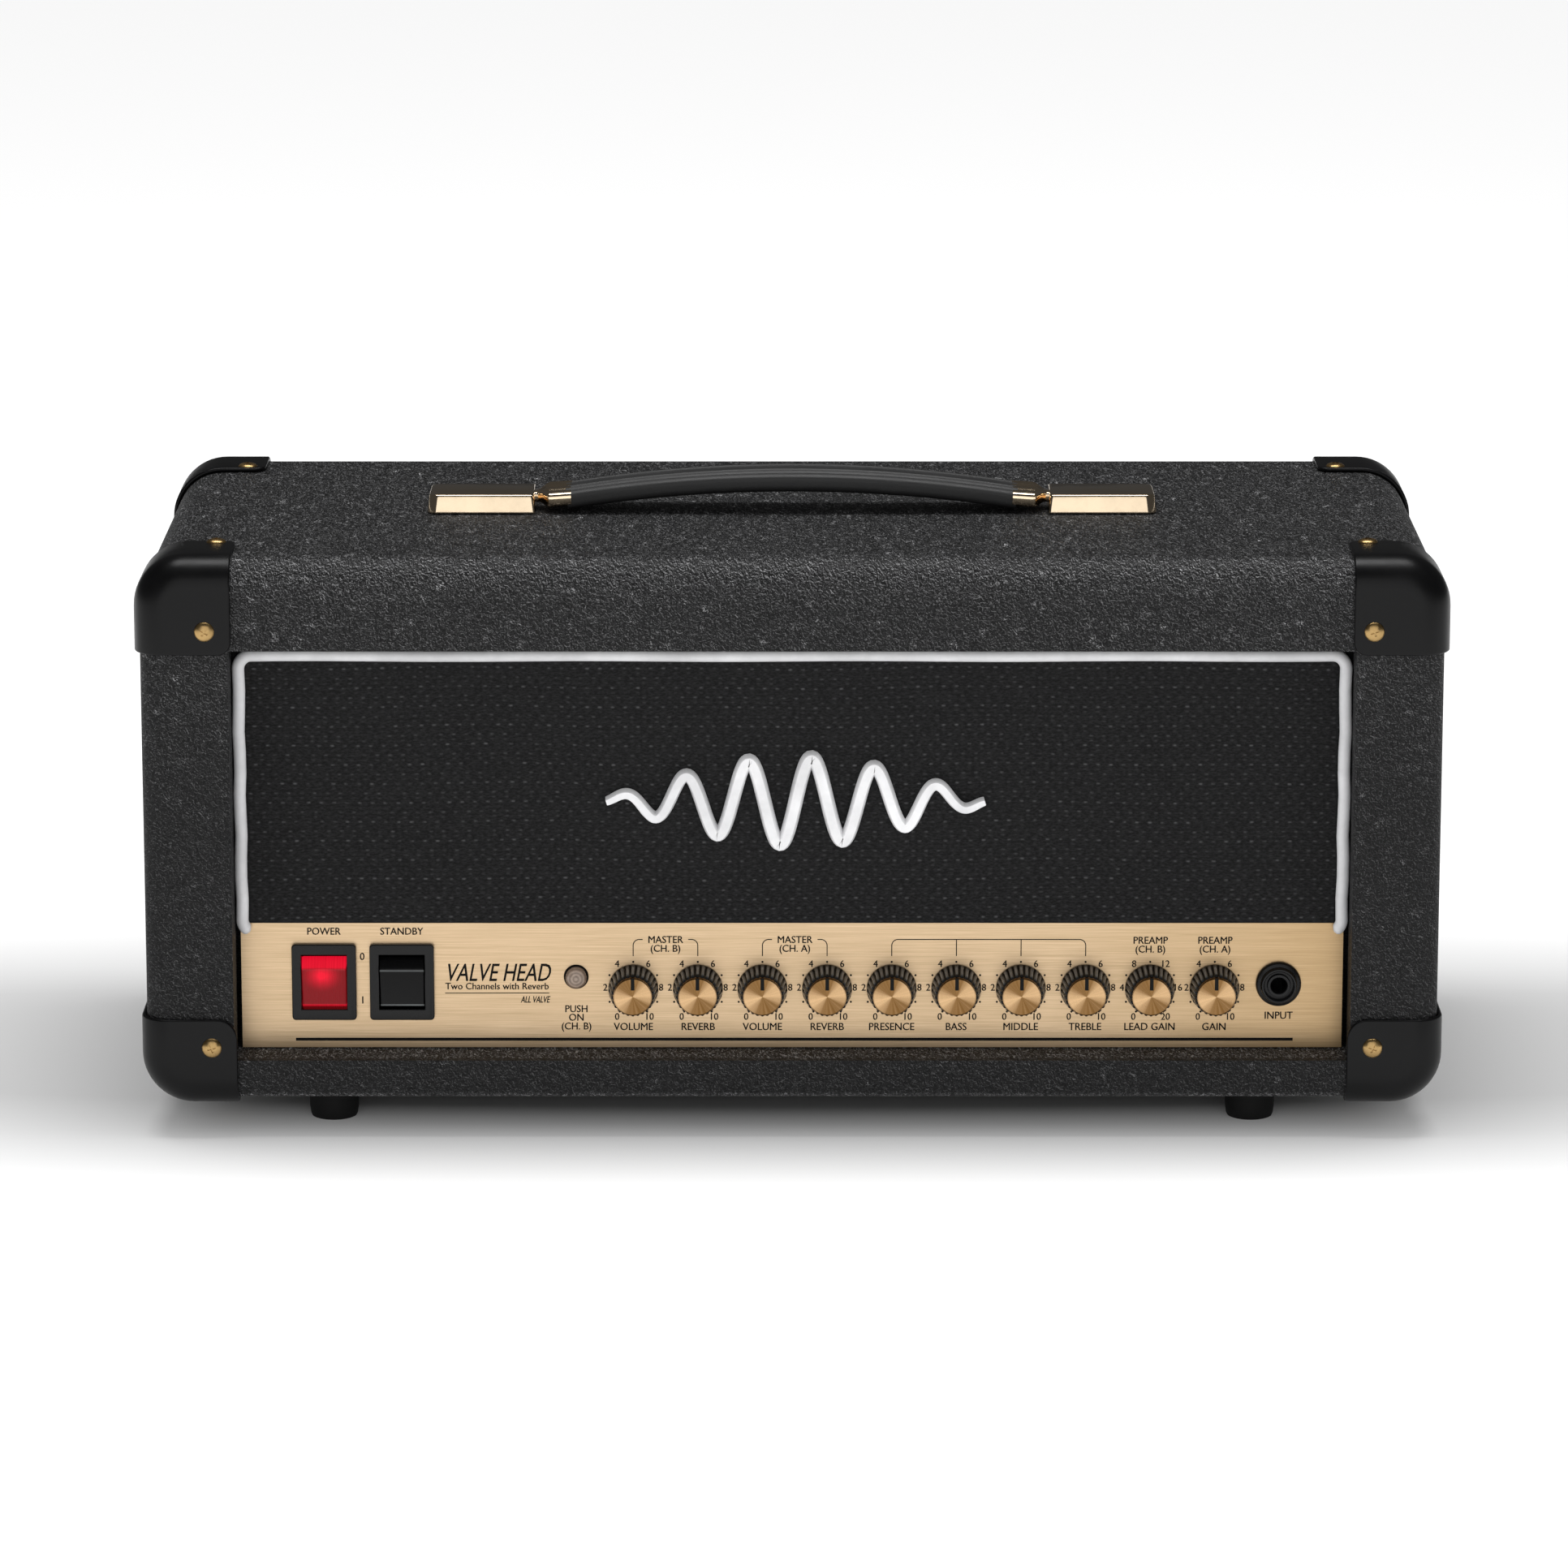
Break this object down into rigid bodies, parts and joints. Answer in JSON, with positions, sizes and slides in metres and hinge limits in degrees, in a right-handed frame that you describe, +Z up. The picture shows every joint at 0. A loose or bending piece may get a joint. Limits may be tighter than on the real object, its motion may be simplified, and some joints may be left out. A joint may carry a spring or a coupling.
{
  "type": "guitar amplifier head",
  "caption": "Guitar amp head: black vinyl cabinet, moulded corners, cloth front in white piping, gold panel with knobs, rocker switches and jack, strap handle, vented back.",
  "frame": {"origin": "centre of the footprint, on the surface that the feet stand on", "axes": "+Z up, -Y out of the front panel, +X to the right seen from the front"},
  "size_m": [0.5, 0.23, 0.2417],
  "materials": {
    "vinyl_board": "plywood covered in black vinyl with a coarse worm-grain emboss",
    "plain_board": "bare plywood, hidden behind the cloth",
    "grille_cloth": "black basket-weave grille cloth",
    "white_piping": "smooth white vinyl piping",
    "white_badge": "satin white moulding",
    "corner_plastic": "satin black moulded plastic",
    "foot_rubber": "matt black rubber",
    "gold_plate": "polished gold plating",
    "strap_vinyl": "ribbed black strap, satin",
    "gold_panel": "gold anodised, brushed lengthwise",
    "chassis_steel": "zinc-plated sheet steel, black behind",
    "vent_steel": "satin black paint",
    "circuit_board": "green fibreglass board with its components",
    "transformer": "black-lacquered laminations and winding",
    "valve_glass": "clear glass with dark electrodes, in a black base",
    "black_plastic": "black moulded plastic",
    "red_lens": "translucent red, lit from inside",
    "clear_button": "smoky translucent plastic",
    "jack_plastic": "black plastic with plated contacts",
    "knob": "ribbed black skirt with a spun gold-coloured metal cap"
  },
  "bodies": {
    "cabinet": {"cabinet_top_board": "vinyl_board", "cabinet_bottom_board": "vinyl_board", "cabinet_left_side": "vinyl_board", "cabinet_right_side": "vinyl_board", "front_top_rail": "vinyl_board", "back_panel": "vinyl_board", "vent_grille": "vent_steel", "baffle_board": "plain_board", "grille_cloth": "grille_cloth", "front_piping": "white_piping", "front_badge": "white_badge", "handle_cap_left": "gold_plate", "handle_cap_right": "gold_plate", "chassis": "chassis_steel", "front_panel": "gold_panel", "control_board": "circuit_board", "main_board": "circuit_board", "rear_jack_plate": "jack_plastic", "mains_transformer": "transformer", "output_transformer": "transformer", "power_valve_1": "valve_glass", "power_valve_2": "valve_glass", "preamp_valve_1": "valve_glass", "preamp_valve_2": "valve_glass", "preamp_valve_3": "valve_glass", "power_switch_housing": "black_plastic", "standby_switch_housing": "black_plastic", "input_jack": "jack_plastic", "mains_inlet": "jack_plastic", "corner_front_top_left": "corner_plastic", "corner_front_bottom_left": "corner_plastic", "corner_back_top_left": "corner_plastic", "corner_back_bottom_left": "corner_plastic", "corner_front_top_right": "corner_plastic", "corner_front_bottom_right": "corner_plastic", "corner_back_top_right": "corner_plastic", "corner_back_bottom_right": "corner_plastic", "foot_front_left": "foot_rubber", "foot_back_left": "foot_rubber", "foot_front_right": "foot_rubber", "foot_back_right": "foot_rubber"},
    "power_rocker": {"power_rocker": "red_lens"},
    "standby_rocker": {"standby_rocker": "black_plastic"},
    "channel_button": {"channel_button": "clear_button"},
    "fuse_drawer": {"fuse_drawer": "jack_plastic"},
    "loop_button": {"loop_button": "black_plastic"},
    "handle": {"handle_grip": "strap_vinyl", "handle_ferrule_left": "gold_plate", "handle_ferrule_right": "gold_plate"},
    "volume_b_knob": {"knob_01": "knob"},
    "reverb_b_knob": {"knob_02": "knob"},
    "volume_a_knob": {"knob_03": "knob"},
    "reverb_a_knob": {"knob_04": "knob"},
    "presence_knob": {"knob_05": "knob"},
    "bass_knob": {"knob_06": "knob"},
    "middle_knob": {"knob_07": "knob"},
    "treble_knob": {"knob_08": "knob"},
    "gain_b_knob": {"knob_09": "knob"},
    "gain_a_knob": {"knob_10": "knob"}
  },
  "joints": [
    {"name": "volume_b_turn", "type": "hinge", "parent": "cabinet", "child": "volume_b_knob", "pos_m": [-0.0612, -0.0945, 0.0543], "axis": [0, 1, 0], "range_deg": [-150, 150]},
    {"name": "reverb_b_turn", "type": "hinge", "parent": "cabinet", "child": "reverb_b_knob", "pos_m": [-0.0363, -0.0945, 0.0543], "axis": [0, 1, 0], "range_deg": [-150, 150]},
    {"name": "volume_a_turn", "type": "hinge", "parent": "cabinet", "child": "volume_a_knob", "pos_m": [-0.0114, -0.0945, 0.0543], "axis": [0, 1, 0], "range_deg": [-150, 150]},
    {"name": "reverb_a_turn", "type": "hinge", "parent": "cabinet", "child": "reverb_a_knob", "pos_m": [0.0135, -0.0945, 0.0543], "axis": [0, 1, 0], "range_deg": [-150, 150]},
    {"name": "presence_turn", "type": "hinge", "parent": "cabinet", "child": "presence_knob", "pos_m": [0.0384, -0.0945, 0.0543], "axis": [0, 1, 0], "range_deg": [-150, 150]},
    {"name": "bass_turn", "type": "hinge", "parent": "cabinet", "child": "bass_knob", "pos_m": [0.0633, -0.0945, 0.0543], "axis": [0, 1, 0], "range_deg": [-150, 150]},
    {"name": "middle_turn", "type": "hinge", "parent": "cabinet", "child": "middle_knob", "pos_m": [0.0882, -0.0945, 0.0543], "axis": [0, 1, 0], "range_deg": [-150, 150]},
    {"name": "treble_turn", "type": "hinge", "parent": "cabinet", "child": "treble_knob", "pos_m": [0.1131, -0.0945, 0.0543], "axis": [0, 1, 0], "range_deg": [-150, 150]},
    {"name": "gain_b_turn", "type": "hinge", "parent": "cabinet", "child": "gain_b_knob", "pos_m": [0.138, -0.0945, 0.0543], "axis": [0, 1, 0], "range_deg": [-150, 150]},
    {"name": "gain_a_turn", "type": "hinge", "parent": "cabinet", "child": "gain_a_knob", "pos_m": [0.1629, -0.0945, 0.0543], "axis": [0, 1, 0], "range_deg": [-150, 150]},
    {"name": "power_rock", "type": "hinge", "parent": "cabinet", "child": "power_rocker", "pos_m": [-0.1803, -0.086, 0.0572], "axis": [-1, 0, 0], "range_deg": [0, 25]},
    {"name": "standby_rock", "type": "hinge", "parent": "cabinet", "child": "standby_rocker", "pos_m": [-0.1503, -0.086, 0.0572], "axis": [-1, 0, 0], "range_deg": [0, 25]},
    {"name": "channel_press", "type": "slide", "parent": "cabinet", "child": "channel_button", "axis": [0, 1, 0], "range_m": [0, 0.003], "stiffness_N_per_m": 300},
    {"name": "loop_press", "type": "slide", "parent": "cabinet", "child": "loop_button", "axis": [0, -1, 0], "range_m": [0, 0.003], "stiffness_N_per_m": 300},
    {"name": "fuse_drawer_slide", "type": "slide", "parent": "cabinet", "child": "fuse_drawer", "axis": [0, 1, 0], "range_m": [0, 0.018]},
    {"name": "handle_lift", "type": "slide", "parent": "cabinet", "child": "handle", "axis": [0, 0, 1], "range_m": [0, 0.014]}
  ]
}
